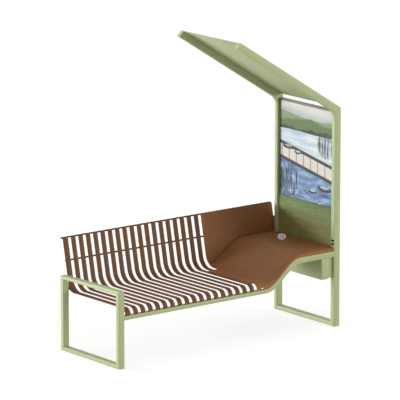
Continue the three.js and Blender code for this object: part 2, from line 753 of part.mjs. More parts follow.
function buildBatteryBox() {
  const boxEnd = batteryBoxStart + batteryBoxWidth;
  const roof = tableHeight - plateThickness - fitGap;
  const apronClear = apronDepth + fitGap;
  const shoulder = apronBottom - fitGap;
  const outline = (inset, foot) => [
    [inset, foot],
    [inset, shoulder - inset],
    [apronClear + inset, shoulder - inset],
    [apronClear + inset, roof - inset],
    [batteryBoxDepth - inset, roof - inset],
    [batteryBoxDepth - inset, foot],
  ];
  const wallStart = batteryBoxStart + boxWall;
  const wallEnd = boxEnd - boxWall;
  const doorTop = boxUnderside + batteryDoorThickness;
  const flange = block(
    batteryBoxStart, wallStart + batteryFlangeWidth,
    boxWall, batteryBoxDepth - boxWall,
    doorTop + batteryDoorGap, doorTop + batteryDoorGap + batteryFlangeThickness,
  );
  const box = sideSolid(outline(0, boxUnderside), batteryBoxStart, boxEnd)
    .subtract(sideSolid(outline(boxWall, boxUnderside - cutOverrun), wallStart, wallEnd))
    .add(flange);
  addPiece('battery_box', box, greenPaint());

  const lockX = wallStart + batteryLockInset;
  const lockFoot = new THREE.Vector3(lockX, batteryLockPlace, boxUnderside);
  const door = block(
    wallStart + batteryDoorGap, wallEnd - batteryDoorGap,
    boxWall + batteryDoorGap, batteryBoxDepth - boxWall - batteryDoorGap,
    boxUnderside, doorTop,
  ).subtract(roundBar(
    new THREE.Vector3(lockX, batteryLockPlace, boxUnderside - cutOverrun),
    zAxis, 2 * cutOverrun, batteryLockRadius + fitGap, lockSides,
  ));
  addPiece('battery_door', door, greenPaint());

  const camStart = boxUnderside + batteryCamStart;
  const lock = roundBar(lockFoot, zAxis, batteryLockLength, batteryLockRadius, lockSides)
    .add(block(
      lockX - batteryCamWidth / 2, lockX + batteryCamWidth / 2,
      batteryLockPlace, batteryLockPlace + batteryCamLength,
      camStart, camStart + camThickness,
    ));
  addPiece('battery_door_lock', lock, zincSteel());

  const packTop = roof - boxWall - fitGap;
  const pack = block(
    wallStart + fitGap, wallStart + fitGap + batteryPackWidth,
    batteryPackFront, batteryPackFront + batteryPackLength,
    packTop - batteryPackHeight, packTop,
  );
  addPiece('battery_pack', pack, blackPlastic());

  const housingPlan = (inset) => [
    [boxEnd + inset, housingSetback + inset],
    [postFaceX - fitGap - inset, housingSetback + inset],
    [postFaceX - fitGap - inset, innerFront + fitGap + inset],
    [panelX - fitGap - inset, innerFront + fitGap + inset],
    [panelX - fitGap - inset, housingDepth - inset],
    [boxEnd + inset, housingDepth - inset],
  ];
  const housing = planSolid(housingPlan(0), boxUnderside, shoulder)
    .subtract(planSolid(housingPlan(boxWall), boxUnderside + boxWall, shoulder + cutOverrun));
  addPiece('controller_housing', housing, greenPaint());

  const controllerStart = boxEnd + boxWall + fitGap;
  const controllerFoot = boxUnderside + boxWall + fitGap;
  const controller = block(
    controllerStart, controllerStart + controllerWidth,
    controllerFront, controllerFront + controllerLength,
    controllerFoot, controllerFoot + controllerHeight,
  );
  addPiece('charge_controller', controller, blackPlastic());
}

// USB sockets and phone charger

function usbSocket(height) {
  const middle = portalTubeDepth / 2;
  const face = postFaceX + socketRecess;
  return block(
    face, face + socketDepth,
    middle - socketWidth / 2, middle + socketWidth / 2,
    height - socketHeight / 2, height + socketHeight / 2,
  ).subtract(block(
    face - cutOverrun, face + portDepth,
    middle - portWidth / 2, middle + portWidth / 2,
    height - portHeight / 2, height + portHeight / 2,
  ));
}

function buildChargingPoints() {
  addPiece('usb_socket_upper', usbSocket(upperSocketHeight), blackPlastic());
  addPiece('usb_socket_lower', usbSocket(lowerSocketHeight), blackPlastic());

  const facing = new THREE.Vector3(
    -Math.sin(chargerTurn) * Math.sin(chargerTilt),
    -Math.cos(chargerTurn) * Math.sin(chargerTilt),
    Math.cos(chargerTilt),
  );
  const faceCentre = new THREE.Vector3(chargerX, chargerY, tableHeight + chargerFaceHeight);
  const along = (distance) => faceCentre.clone().addScaledVector(facing, distance);
  const tableTop = block(
    chargerX - chargerDepth * 2, chargerX + chargerDepth * 2,
    chargerY - chargerDepth * 2, chargerY + chargerDepth * 2,
    tableHeight - chargerDepth * 2, tableHeight + fitGap,
  );
  const recessDepth = chargerPadThickness - chargerPadProud + fitGap;
  const recess = roundBar(
    along(-recessDepth), facing, recessDepth + cutOverrun, chargerPadRadius + fitGap, chargerSides,
  );
  const base = roundBar(along(-chargerDepth), facing, chargerDepth, chargerRadius, chargerSides)
    .subtract(tableTop)
    .subtract(recess);
  addPiece('charger_base', base, palePlastic());
  const padStart = along(chargerPadProud - chargerPadThickness);
  const pad = roundBar(padStart, facing, chargerPadThickness, chargerPadRadius, chargerSides);
  addPiece('charger_pad', pad, padPlastic());
}

buildLeftHoop();
buildPortal();
buildCanopy();
buildFrontEdge();
buildSlats();
buildShell();
buildBackSupports();
buildLightBox();
buildBatteryBox();
buildChargingPoints();

// Set the origin on the ground in the middle of the bounding box
const bounds = new THREE.Box3().setFromObject(group);
const middle = bounds.getCenter(new THREE.Vector3());
group.position.set(-middle.x, -middle.y, -bounds.min.z);

export default group;
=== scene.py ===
import json
import math

import bmesh
import bpy
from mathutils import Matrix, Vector


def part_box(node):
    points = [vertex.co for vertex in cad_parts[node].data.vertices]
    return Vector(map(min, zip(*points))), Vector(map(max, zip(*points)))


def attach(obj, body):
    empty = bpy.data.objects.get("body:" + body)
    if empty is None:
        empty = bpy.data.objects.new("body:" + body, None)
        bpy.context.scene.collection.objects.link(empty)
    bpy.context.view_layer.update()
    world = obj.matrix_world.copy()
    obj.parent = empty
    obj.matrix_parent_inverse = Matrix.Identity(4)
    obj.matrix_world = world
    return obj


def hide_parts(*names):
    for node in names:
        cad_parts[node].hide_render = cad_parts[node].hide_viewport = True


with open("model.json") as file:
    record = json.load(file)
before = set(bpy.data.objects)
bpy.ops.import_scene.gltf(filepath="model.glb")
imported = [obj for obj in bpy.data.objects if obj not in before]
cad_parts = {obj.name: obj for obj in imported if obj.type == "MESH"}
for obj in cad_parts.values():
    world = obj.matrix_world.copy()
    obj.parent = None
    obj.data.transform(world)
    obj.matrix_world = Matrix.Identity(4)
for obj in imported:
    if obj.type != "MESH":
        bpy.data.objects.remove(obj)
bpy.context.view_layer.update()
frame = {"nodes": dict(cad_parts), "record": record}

# Left hoop
# A closed loop of rectangular steel tube that stands on the ground: sill, two posts and an arm that
# drops towards the back. The tubes are mitred, welded, ground flush and powder coated sage green.
HOOP_EDGE = 0.0035
HOOP_LONG_EDGE = 0.2
HOOP_TUBES = {
    "left_sill": "left_sill_tube",
    "left_front_post": "left_front_tube",
    "left_arm_rail": "left_arm_tube",
    "left_rear_post": "left_rear_tube",
}
WELD_REACH = 0.00002
TOUCH = 0.0005
FLAT_ANGLE = math.radians(0.4)
SHARP_ANGLE = math.radians(30)
SMOOTH_ANGLE = math.radians(32)
PEEL_SIZE = 520.0
PEEL_DEPTH = 0.00004
PEEL_GLOSS = 0.16


def paint(red, green, blue):
    """A colour from a paint card's 0 to 255 values, as the shaders want it."""
    values = []
    for value in (red, green, blue):
        share = value / 255
        values.append(share / 12.92 if share <= 0.04045 else ((share + 0.055) / 1.055) ** 2.4)
    return (*values, 1.0)


def only(piece):
    """Leaves this piece alone selected."""
    bpy.ops.object.select_all(action="DESELECT")
    piece.select_set(True)
    bpy.context.view_layer.objects.active = piece


def welded_copy(node, name):
    """A copy of a frame node, with its loose triangles welded into whole faces."""
    piece = bpy.data.objects.new(name, frame["nodes"][node].data.copy())
    bpy.context.scene.collection.objects.link(piece)
    piece.data.materials.clear()
    only(piece)
    bpy.ops.object.mode_set(mode="EDIT")
    bpy.ops.mesh.select_all(action="SELECT")
    bpy.ops.mesh.remove_doubles(threshold=WELD_REACH)
    bpy.ops.mesh.dissolve_limited(angle_limit=FLAT_ANGLE)
    bpy.ops.mesh.select_all(action="DESELECT")
    bpy.ops.object.mode_set(mode="OBJECT")
    if piece.data.has_custom_normals:
        bpy.ops.mesh.customdata_custom_splitnormals_clear()
    return piece


def round_edges(piece, wanted, radius, steps=3):
    """Rounds the sharp edges that wanted picks by their two ends."""
    only(piece)
    bpy.ops.object.mode_set(mode="EDIT")
    bpy.ops.mesh.select_mode(type="EDGE")
    mesh = bmesh.from_edit_mesh(piece.data)
    for edge in mesh.edges:
        sharp = len(edge.link_faces) == 2 and edge.calc_face_angle(0.0) > SHARP_ANGLE
        edge.select_set(sharp and wanted(edge.verts[0].co, edge.verts[1].co))
    bmesh.update_edit_mesh(piece.data)
    bpy.ops.mesh.bevel(offset=radius, segments=steps, affect="EDGES", clamp_overlap=True)
    bpy.ops.mesh.select_all(action="DESELECT")
    bpy.ops.object.mode_set(mode="OBJECT")


def apply_bevel(piece, radius, steps=2, angle=35):
    """Breaks every sharp edge of a piece."""
    only(piece)
    bevel = piece.modifiers.new("broken_edges", "BEVEL")
    bevel.width = radius
    bevel.segments = steps
    bevel.limit_method = "ANGLE"
    bevel.angle_limit = math.radians(angle)
    bpy.ops.object.modifier_apply(modifier=bevel.name)


def fit(piece, material, node, body="bench"):
    """Finishes a piece, and puts it in the place of its frame node."""
    piece.data.materials.clear()
    piece.data.materials.append(material)
    only(piece)
    bpy.ops.object.shade_smooth_by_angle(angle=SMOOTH_ANGLE)
    bpy.ops.object.select_all(action="DESELECT")
    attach(piece, body)
    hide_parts(node)


def feed(tree, node, inputs):
    """Gives each input a value, or the output that feeds it."""
    for name, value in inputs.items():
        if isinstance(value, bpy.types.NodeSocket):
            tree.links.new(value, node.inputs[name])
        else:
            node.inputs[name].default_value = value


def add_node(tree, kind, inputs=None, **settings):
    """Adds a node with these settings and inputs to a shader."""
    node = tree.nodes.new(kind)
    for name, value in settings.items():
        setattr(node, name, value)
    feed(tree, node, inputs or {})
    return node


def sum_of(tree, operation, *values):
    """The result of a sum of numbers and outputs."""
    return add_node(tree, "ShaderNodeMath", dict(enumerate(values)), operation=operation).outputs[0]


def noise(tree, place, size=1.0, detail=2.0, distortion=0.0):
    """Cloudy noise from 0 to 1."""
    inputs = {"Vector": place, "Scale": size, "Detail": detail, "Distortion": distortion}
    return add_node(tree, "ShaderNodeTexNoise", inputs).outputs["Fac"]


# The sprayed skin that all painted pieces share: a faint drift of tone, fine orange peel that
# breaks the gloss, and a few tiny specks.
powder_coat = bpy.data.node_groups.new("powder_coat", "ShaderNodeTree")
for label, kind, value in (
    ("Colour", "NodeSocketColor", (0.5, 0.5, 0.5, 1.0)),
    ("Drift", "NodeSocketFloat", 0.05),
    ("Roughness", "NodeSocketFloat", 0.5),
    ("Grain Size", "NodeSocketFloat", PEEL_SIZE),
):
    socket = powder_coat.interface.new_socket(name=label, in_out="INPUT", socket_type=kind)
    socket.default_value = value
for label, kind in (
    ("Colour", "NodeSocketColor"),
    ("Roughness", "NodeSocketFloat"),
    ("Height", "NodeSocketFloat"),
):
    powder_coat.interface.new_socket(name=label, in_out="OUTPUT", socket_type=kind)
coat_in = powder_coat.nodes.new("NodeGroupInput").outputs
coat_out = powder_coat.nodes.new("NodeGroupOutput")
place = add_node(powder_coat, "ShaderNodeTexCoord").outputs["Object"]
cloud = noise(powder_coat, place, size=5.0, detail=3.0)
peel = noise(powder_coat, place, size=coat_in["Grain Size"])
drift = sum_of(powder_coat, "SUBTRACT", cloud, 0.5)
drift = sum_of(powder_coat, "MULTIPLY", drift, coat_in["Drift"])
speckle = sum_of(powder_coat, "SUBTRACT", peel, 0.5)
lift = sum_of(powder_coat, "MULTIPLY_ADD", speckle, coat_in["Drift"], drift)
lift = sum_of(powder_coat, "ADD", lift, 1.0)
tone = add_node(
    powder_coat, "ShaderNodeVectorMath", {0: coat_in["Colour"], "Scale": lift}, operation="SCALE"
)
gloss = sum_of(powder_coat, "MULTIPLY_ADD", speckle, PEEL_GLOSS, coat_in["Roughness"])
feed(powder_coat, coat_out, {"Colour": tone.outputs[0], "Roughness": gloss, "Height": peel})


def new_material(name, specular, metallic=0.0):
    """An empty finish, its node tree and its main shader."""
    material = bpy.data.materials.new(name)
    material.use_nodes = True
    shader = material.node_tree.nodes["Principled BSDF"]
    shader.inputs["Metallic"].default_value = metallic
    shader.inputs["Specular IOR Level"].default_value = specular
    shader.inputs["IOR"].default_value = 1.5
    return material, material.node_tree, shader


def spray(tree, shader, colour, roughness, drift, grain_size=PEEL_SIZE, depth=PEEL_DEPTH):
    """Lays the shared sprayed skin over a colour."""
    inputs = {"Colour": colour, "Drift": drift, "Roughness": roughness, "Grain Size": grain_size}
    skin = add_node(tree, "ShaderNodeGroup", inputs, node_tree=powder_coat).outputs
    feed(tree, shader, {"Base Color": skin["Colour"], "Roughness": skin["Roughness"]})
    if depth:
        inputs = {"Strength": 0.5, "Distance": depth, "Height": skin["Height"]}
        relief = add_node(tree, "ShaderNodeBump", inputs)
        feed(tree, shader, {"Normal": relief.outputs["Normal"]})


def coated(name, colour, roughness, drift=0.05, specular=0.4):
    """A finish in one colour of the sprayed skin."""
    material, tree, shader = new_material(name, specular)
    spray(tree, shader, colour, roughness, drift)
    return material


sage_green = coated("sage_green", paint(172, 183, 138), roughness=0.5, specular=0.35)

for node, name in HOOP_TUBES.items():
    low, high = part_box(node)
    span = [high[axis] - low[axis] for axis in range(3)]
    along = span.index(max(span))
    tube = welded_copy(node, name)
    across = [vertex.co.x for vertex in tube.data.vertices]
    sides = (min(across), max(across))
    round_edges(
        tube,
        lambda a, b: abs(a.x - b.x) < TOUCH
        and min(abs(a.x - side) for side in sides) < TOUCH
        and abs(a[along] - b[along]) > HOOP_LONG_EDGE,
        HOOP_EDGE,
    )
    fit(tube, sage_green, node)

# Portal
# Two uprights of rectangular tube, each cut and welded at the top so that it runs on as a side
# rail of the canopy, with a short sill between their feet and a flat cap welded on each tip.
PORTAL_EDGE = 0.006
CAP_EDGE = 0.0008
FOOT_TOP = 0.01
TIP_BOTTOM = 2.2
SILL_LONG_EDGE = 0.5

for node, name in (
    ("portal_front_post", "portal_front_tube"),
    ("portal_rear_post", "portal_rear_tube"),
):
    low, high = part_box(node)
    tube = welded_copy(node, name)
    round_edges(
        tube,
        lambda a, b: abs(a.y - b.y) < TOUCH
        and min(abs(a.y - low[1]), abs(a.y - high[1])) < TOUCH
        and max(a.z, b.z) > FOOT_TOP
        and min(a.z, b.z) <= TIP_BOTTOM,
        PORTAL_EDGE,
    )
    fit(tube, sage_green, node)

low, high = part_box("portal_sill")
sill = welded_copy("portal_sill", "portal_sill_tube")
round_edges(
    sill,
    lambda a, b: abs(a.y - b.y) > SILL_LONG_EDGE
    and min(abs(a.x - low[0]), abs(a.x - high[0])) < TOUCH,
    PORTAL_EDGE,
)
fit(sill, sage_green, "portal_sill")

for node, name in (("front_rail_cap", "front_tip_cap"), ("rear_rail_cap", "rear_tip_cap")):
    cap = welded_copy(node, name)
    apply_bevel(cap, CAP_EDGE)
    fit(cap, sage_green, node)

# Canopy
# A flat steel soffit between the side rails carries a laminate of dark cells under clear glass,
# flush with the rails' top faces. Only the soffit shows from the seat.
SLOPE = math.radians(31.8)
SOFFIT_EDGE = 0.0006
GLASS_EDGE = 0.0008
GLASS_ALPHA = 0.05
DUST_FILM = (0.04, 0.1)
CELL = 0.105
CELL_GAP = 0.0028
BUSBAR_PITCH = 0.021
BUSBAR = 0.0012

soffit = welded_copy("canopy_soffit", "canopy_soffit_sheet")
apply_bevel(soffit, SOFFIT_EDGE)
fit(soffit, sage_green, "canopy_soffit")


def mixed(tree, share, first, second):
    """A colour that turns from the first to the second as the share grows."""
    inputs = {"Factor": share, "A": first, "B": second}
    return add_node(tree, "ShaderNodeMix", inputs, data_type="RGBA").outputs["Result"]


def ranged(tree, value, start, end, low=0.0, high=1.0, clamp=True):
    """Runs from low to high while the value runs from start to end."""
    inputs = {"Value": value, "From Min": start, "From Max": end, "To Min": low, "To Max": high}
    return add_node(tree, "ShaderNodeMapRange", inputs, clamp=clamp).outputs["Result"]


def line_mask(tree, way, pitch, width):
    """1 on the lines of a ruled pattern of this pitch and line width."""
    share = sum_of(tree, "FRACT", sum_of(tree, "DIVIDE", way, pitch))
    return sum_of(tree, "LESS_THAN", share, width / pitch)


def finish_node(node, material):
    """Gives a frame node that keeps its own mesh this finish."""
    frame["nodes"][node].data.materials.clear()
    frame["nodes"][node].data.materials.append(material)


cells, tree, shader = new_material("solar_cells", specular=0.5)
place = add_node(tree, "ShaderNodeTexCoord").outputs["Object"]
turned = add_node(tree, "ShaderNodeMapping", {"Vector": place, "Rotation": (0.0, SLOPE, 0.0)})
turned = turned.outputs["Vector"]
axes = add_node(tree, "ShaderNodeSeparateXYZ", {"Vector": turned}).outputs
crystal = add_node(tree, "ShaderNodeTexVoronoi", {"Vector": turned, "Scale": 60.0})
grid = sum_of(
    tree,
    "MAXIMUM",
    line_mask(tree, axes["X"], CELL, CELL_GAP),
    line_mask(tree, axes["Y"], CELL, CELL_GAP),
)
tint = mixed(tree, crystal.outputs["Distance"], paint(20, 28, 58), paint(27, 38, 76))
busbars = line_mask(tree, axes["Y"], BUSBAR_PITCH, BUSBAR)
wired = mixed(tree, busbars, tint, paint(120, 126, 138))
ruled = mixed(tree, grid, wired, paint(12, 13, 18))
feed(tree, shader, {"Base Color": ruled, "Roughness": 0.3})
finish_node("solar_laminate", cells)


def clear_sheet(name, film_tone):
    """Clean glass that lets the piece behind it show, with a faint film of dust."""
    material, tree, shader = new_material(name, specular=0.5)
    dust = noise(tree, add_node(tree, "ShaderNodeTexCoord").outputs["Object"], size=6.0)
    film = ranged(tree, dust, 0.0, 1.0, *DUST_FILM)
    feed(tree, shader, {"Roughness": film, "Base Color": film_tone, "Alpha": GLASS_ALPHA})
    return material


glass = welded_copy("solar_glass", "canopy_glass_pane")
apply_bevel(glass, GLASS_EDGE)
fit(glass, clear_sheet("canopy_glass", paint(120, 130, 138)), "solar_glass")

# Front edge
# A straight tube under the slats, a pressed S-shaped channel that lifts the edge to the table, and
# a folded apron along the table. They are welded end to end and painted with the frame.
RAIL_EDGE = 0.0025
SHORTEST_RUN = 0.002

for node, name in (
    ("front_rail", "front_rail_tube"),
    ("ramp_band", "ramp_channel"),
    ("table_apron", "table_apron_fold"),
):
    low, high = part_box(node)
    edge_piece = welded_copy(node, name)
    round_edges(
        edge_piece,
        lambda a, b: abs(a.x - b.x) > SHORTEST_RUN
        and abs(a.y - b.y) < TOUCH
        and abs(a.y - low[1]) < TOUCH,
        RAIL_EDGE,
        steps=2,
    )
    fit(edge_piece, sage_green, node)

# Slats
# Flat steel bars, curled over at the front, run back as the seat and bent up as the back rest. One
# bar is bent once and copied. They are powder coated brown and welded by the toe to the front rail.
BAR = 0.003
LEAN = math.radians(12)
SEAT_LEVEL = 0.448
SEAT_FALL = math.radians(0.3)
SEAT_DEPTH = 0.727
TABLE_LEVEL = 0.62
CURL_LAND = 0.005
BACK_RADIUS = 0.1
BEND_STEPS = 14
CORNER_TRIES = 8
SLAT_EDGE = 0.0006
SLATS = 19
SAME_PLACE = 1e-7
STREAK_SPREAD = (0.25, 0.75)
STREAK_CONTRAST = 0.09

rail_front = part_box("front_rail")[0][1]
toe, slat_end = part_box("slat_02")
back_top = slat_end[2]
back_foot = rail_front + SEAT_DEPTH


def arc(before, corner, after, radius, steps):
    """Points of the bend that rounds a corner, in the side plane."""
    into = (Vector(before) - Vector(corner)).normalized()
    out = (Vector(after) - Vector(corner)).normalized()
    half = into.angle(out) / 2
    centre = Vector(corner) + (into + out).normalized() * radius / math.sin(half)
    start = Vector(corner) + into * radius / math.tan(half) - centre
    end = Vector(corner) + out * radius / math.tan(half) - centre
    turn = math.atan2(start.x * end.y - start.y * end.x, start.dot(end))
    points = []
    for step in range(steps + 1):
        angle = turn * step / steps
        points.append((
            centre.x + start.x * math.cos(angle) - start.y * math.sin(angle),
            centre.y + start.x * math.sin(angle) + start.y * math.cos(angle),
        ))
    return points


def side_profile(level, fall, foot, bend, steps):
    """The sitter's side of the bent bar or sheet, from its toe to the top of the back."""

    def seat_at(y):
        return level - (y - rail_front) * math.tan(fall)

    def back_at(z):
        return back_foot + (z - TABLE_LEVEL) * math.tan(LEAN)

    # The seat's line meets the back's line at the corner, and each try comes closer to it.
    corner = (back_foot, seat_at(back_foot))
    for _ in range(CORNER_TRIES):
        corner = (back_at(corner[1]), seat_at(corner[0]))
    face = toe[1]
    curl = level - foot - CURL_LAND
    front = (face, seat_at(face))
    top = (back_at(back_top), back_top)
    points = [(face, foot)]
    points += arc((face, foot), front, corner, curl, steps)
    points += arc(front, corner, top, bend, steps)
    return points + [top]


def thicken(piece):
    """Gives a surface the thickness of the bars, away from the sitter."""
    only(piece)
    wall = piece.modifiers.new("wall", "SOLIDIFY")
    wall.thickness = BAR
    wall.offset = -1.0
    wall.use_even_offset = True
    bpy.ops.object.modifier_apply(modifier=wall.name)


def bent_bar(name, x0, x1, profile):
    """A flat bar, extruded along the profile from its toe, then thickened."""
    bpy.ops.object.select_all(action="DESELECT")
    bpy.ops.mesh.primitive_plane_add(size=1.0)
    bar = bpy.context.object
    bar.name = name
    bpy.ops.object.mode_set(mode="EDIT")
    mesh = bmesh.from_edit_mesh(bar.data)
    corners = {(-1, -1): (x0, 0), (1, -1): (x1, 0), (-1, 1): (x0, 1), (1, 1): (x1, 1)}
    for vertex in mesh.verts:
        side, step = corners[(round(vertex.co.x * 2), round(vertex.co.y * 2))]
        vertex.co = (side, *profile[step])
    mesh.select_mode = {"EDGE"}
    for edge in mesh.edges:
        ends = [vertex.co for vertex in edge.verts]
        far_end = all((end - Vector((end.x, *profile[1]))).length < SAME_PLACE for end in ends)
        edge.select_set(far_end)
    mesh.select_flush_mode()
    bmesh.update_edit_mesh(bar.data)
    for before, after in zip(profile[1:], profile[2:]):
        step = (0.0, after[0] - before[0], after[1] - before[1])
        bpy.ops.mesh.extrude_edges_move(TRANSFORM_OT_translate={"value": step})
    bpy.ops.object.mode_set(mode="OBJECT")
    thicken(bar)
    return bar


def stretched(tree, place, scale):
    """Places drawn in or out along each axis, so that a pattern on them runs one way."""
    return add_node(tree, "ShaderNodeMapping", {"Vector": place, "Scale": scale}).outputs["Vector"]


def brown_grain(name, colour, stretch):
    """The brown coat of the seat, with faint streaks drawn out along the bars."""
    material, tree, shader = new_material(name, specular=0.22)
    place = add_node(tree, "ShaderNodeTexCoord").outputs["Object"]
    cloud = noise(tree, stretched(tree, place, stretch), detail=4.0)
    streak = ranged(tree, cloud, *STREAK_SPREAD)
    dark, light = (
        tuple(value * factor for value in colour[:3]) + (1.0,)
        for factor in (1 - STREAK_CONTRAST, 1 + STREAK_CONTRAST)
    )
    shade = mixed(tree, streak, dark, light)
    spray(tree, shader, shade, roughness=0.55, drift=0.1, grain_size=460.0, depth=0.00005)
    return material


slat_brown = brown_grain("slat_brown", paint(105, 64, 39), stretch=(130.0, 9.0, 9.0))
slat_profile = side_profile(SEAT_LEVEL, SEAT_FALL, toe[2], BACK_RADIUS, BEND_STEPS)

first_bar = bent_bar("slat_02_bar", toe[0], slat_end[0], slat_profile)
apply_bevel(first_bar, SLAT_EDGE)
middle = (toe[0] + slat_end[0]) / 2
for number in range(1, SLATS + 1):
    node = f"slat_{number:02d}"
    low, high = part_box(node)
    if number == 2:
        bar = first_bar
    else:
        bar = bpy.data.objects.new(f"{node}_bar", first_bar.data.copy())
        bpy.context.scene.collection.objects.link(bar)
        extra = ((high[0] - low[0]) - (slat_end[0] - toe[0])) / 2
        only(bar)
        bpy.ops.object.mode_set(mode="EDIT")
        mesh = bmesh.from_edit_mesh(bar.data)
        for vertex in mesh.verts:
            side = 1.0 if vertex.co.x > middle else -1.0
            vertex.co.x += (low[0] + high[0]) / 2 - middle + side * extra
        if number == SLATS:
            bpy.ops.mesh.select_all(action="SELECT")
            bpy.ops.mesh.bisect(
                plane_co=(0.0, low[1], 0.0),
                plane_no=(0.0, -1.0, 0.0),
                use_fill=True,
                clear_outer=True,
            )
        bmesh.update_edit_mesh(bar.data)
        bpy.ops.object.mode_set(mode="OBJECT")
    fit(bar, slat_brown, node)

# Seat shell
# One pressed sheet, as thick as the slats, makes the last of the seat, the ramp, the side table and
# their back. Its front edge curls down, and its rear fold tightens where the ramp starts.
RAMP_START = 0.322
RAMP_LENGTH = 0.34
REAR_LEAD = 0.046
REAR_LAG = 0.032
BAND_LEVEL = 0.393
TABLE_BAND_LEVEL = 0.59
CREASE_FADE = 0.035
TABLE_BEND = 0.006
SHELL_BEND_STEPS = 12
# How far the painted shade in the fold reaches, and how dark it gets.
CREASE_SHADE_REACH = 0.012
CREASE_SHADE_STRENGTH = 0.62
SLAT_GAP = 0.027
FRONT_SLOT = 0.04
RAIL_DEPTH = 0.036
TOE_SLOT = 0.028
TOE_SLOT_RISE = 0.016
CORNER_RADIUS = 0.02
CORNER_STEPS = 8
CORNER_REACH = 0.002
SHELL_EDGE = 0.0008
GAP = 0.0003
PAST = 0.1
COLUMNS = 60
LEAD_COLUMNS = 2
TAIL_COLUMNS = 6

shell_low, shell_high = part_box("seat_shell")
shell_brown = brown_grain("shell_brown", paint(143, 95, 61), stretch=(26.0, 20.0, 20.0))
ramp_from = RAMP_START - REAR_LEAD
ramp_to = RAMP_START + RAMP_LENGTH + REAR_LAG
seat_rear = SEAT_LEVEL - SEAT_DEPTH * math.tan(SEAT_FALL)


def rise(x, start, length):
    """Smooth climb from 0 to 1 along the bench."""
    share = min(max((x - start) / length, 0.0), 1.0)
    return (1 - math.cos(math.pi * share)) / 2


def shell_profile(x):
    """The sheet's side profile at one place along the bench."""
    lift = rise(x, RAMP_START, RAMP_LENGTH)
    level = SEAT_LEVEL + (TABLE_LEVEL - SEAT_LEVEL) * lift
    rear_level = seat_rear + (TABLE_LEVEL - seat_rear) * rise(x, ramp_from, ramp_to - ramp_from)
    fall = math.atan2(level - rear_level, SEAT_DEPTH)
    foot = BAND_LEVEL + (TABLE_BAND_LEVEL - BAND_LEVEL) * lift + GAP
    bend = BACK_RADIUS + (TABLE_BEND - BACK_RADIUS) * rise(x, RAMP_START, CREASE_FADE)
    return side_profile(level, fall, foot, bend, SHELL_BEND_STEPS)


def column_place(column):
    """Where a column of the sheet lies: most columns are on the ramp."""
    ramp_columns = COLUMNS - LEAD_COLUMNS - TAIL_COLUMNS
    if column < LEAD_COLUMNS:
        return shell_low[0] + (ramp_from - shell_low[0]) * column / LEAD_COLUMNS
    if column > COLUMNS - TAIL_COLUMNS:
        share = (column - COLUMNS + TAIL_COLUMNS) / TAIL_COLUMNS
        return ramp_to + (shell_high[0] - ramp_to) * share
    return ramp_from + (ramp_to - ramp_from) * (column - LEAD_COLUMNS) / ramp_columns


rows = len(shell_profile(RAMP_START))
bpy.ops.object.select_all(action="DESELECT")
bpy.ops.mesh.primitive_grid_add(x_subdivisions=COLUMNS, y_subdivisions=rows - 1, size=1.0)
shell = bpy.context.object
shell.name = "seat_shell_sheet"
for vertex in shell.data.vertices:
    x = column_place(round((vertex.co.x + 0.5) * COLUMNS))
    row = round((vertex.co.y + 0.5) * (rows - 1))
    vertex.co = (x, *shell_profile(x)[row])
thicken(shell)

# Painted shade darkens the fold where the seat meets the back. The shader follows the fold's height
# along the ramp and the lean of the back.
tree = shell_brown.node_tree
shader = tree.nodes["Principled BSDF"]
skin_colour = shader.inputs["Base Color"].links[0].from_socket
place = add_node(tree, "ShaderNodeTexCoord").outputs["Object"]
where = add_node(tree, "ShaderNodeSeparateXYZ", {"Vector": place}).outputs
half_climb = (TABLE_LEVEL - seat_rear) / 2
turn = ranged(tree, where["X"], ramp_from, ramp_to, high=math.pi)
wave = sum_of(tree, "MULTIPLY", sum_of(tree, "COSINE", turn), -half_climb)
fold_level = sum_of(tree, "ADD", wave, seat_rear + half_climb)
above = sum_of(tree, "ABSOLUTE", sum_of(tree, "SUBTRACT", where["Z"], fold_level))
lean = sum_of(tree, "MULTIPLY", where["Z"], math.tan(LEAN))
back_face = sum_of(tree, "ADD", lean, back_foot - TABLE_LEVEL * math.tan(LEAN))
before = sum_of(tree, "ABSOLUTE", sum_of(tree, "SUBTRACT", back_face, where["Y"]))
far = sum_of(tree, "ADD", above, before)
# Painted shade: the sheet turns dark brown close to the fold.
crease_shade = ranged(tree, far, CREASE_SHADE_REACH, 0.0, high=CREASE_SHADE_STRENGTH)
feed(tree, shader, {"Base Color": mixed(tree, crease_shade, skin_colour, paint(38, 24, 16))})


def cut_away(piece, low, high):
    """Cuts a box out of a piece, as a saw or a press tool would."""
    bpy.ops.object.select_all(action="DESELECT")
    bpy.ops.mesh.primitive_cube_add(size=1.0)
    cutter = bpy.context.object
    for vertex in cutter.data.vertices:
        for axis in range(3):
            vertex.co[axis] = low[axis] if vertex.co[axis] < 0 else high[axis]
    only(piece)
    cut = piece.modifiers.new("cut", "BOOLEAN")
    cut.operation = "DIFFERENCE"
    cut.solver = "EXACT"
    cut.object = cutter
    bpy.ops.object.modifier_apply(modifier=cut.name)
    bpy.data.objects.remove(cutter)


# The sheet leaves room for the last slat's back, for the slots at the front and for the posts. Each
# cutting box reaches past the sheet where it meets nothing else.
last_slat_low, last_slat_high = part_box("slat_19")
back_left = last_slat_high[0] + SLAT_GAP
front_post_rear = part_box("portal_front_post")[1][1] + GAP
rear_post_low, rear_post_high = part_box("portal_rear_post")
post_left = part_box("portal_sill")[0][0] - GAP
panel_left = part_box("portal_panel")[0][0] - GAP
left, right = shell_low[0] - PAST, shell_high[0] + PAST
front, rear = rail_front - PAST, shell_high[1] + PAST
under, over = BAND_LEVEL - PAST, back_top + PAST
toe_slot_top = BAND_LEVEL + TOE_SLOT_RISE
for low, high in (
    ((left, last_slat_low[1] - GAP, under), (back_left, rear, over)),
    ((left, front, under), (last_slat_low[0], rail_front + FRONT_SLOT, over)),
    ((back_left - TOE_SLOT, front, under), (back_left, rail_front + RAIL_DEPTH, toe_slot_top)),
    ((post_left, rear_post_low[1] - GAP, under), (right, rear_post_high[1] + GAP, over)),
    ((post_left, front, under), (right, front_post_rear, over)),
    ((panel_left, front, under), (right, rear_post_high[1] + GAP, over)),
):
    cut_away(shell, low, high)

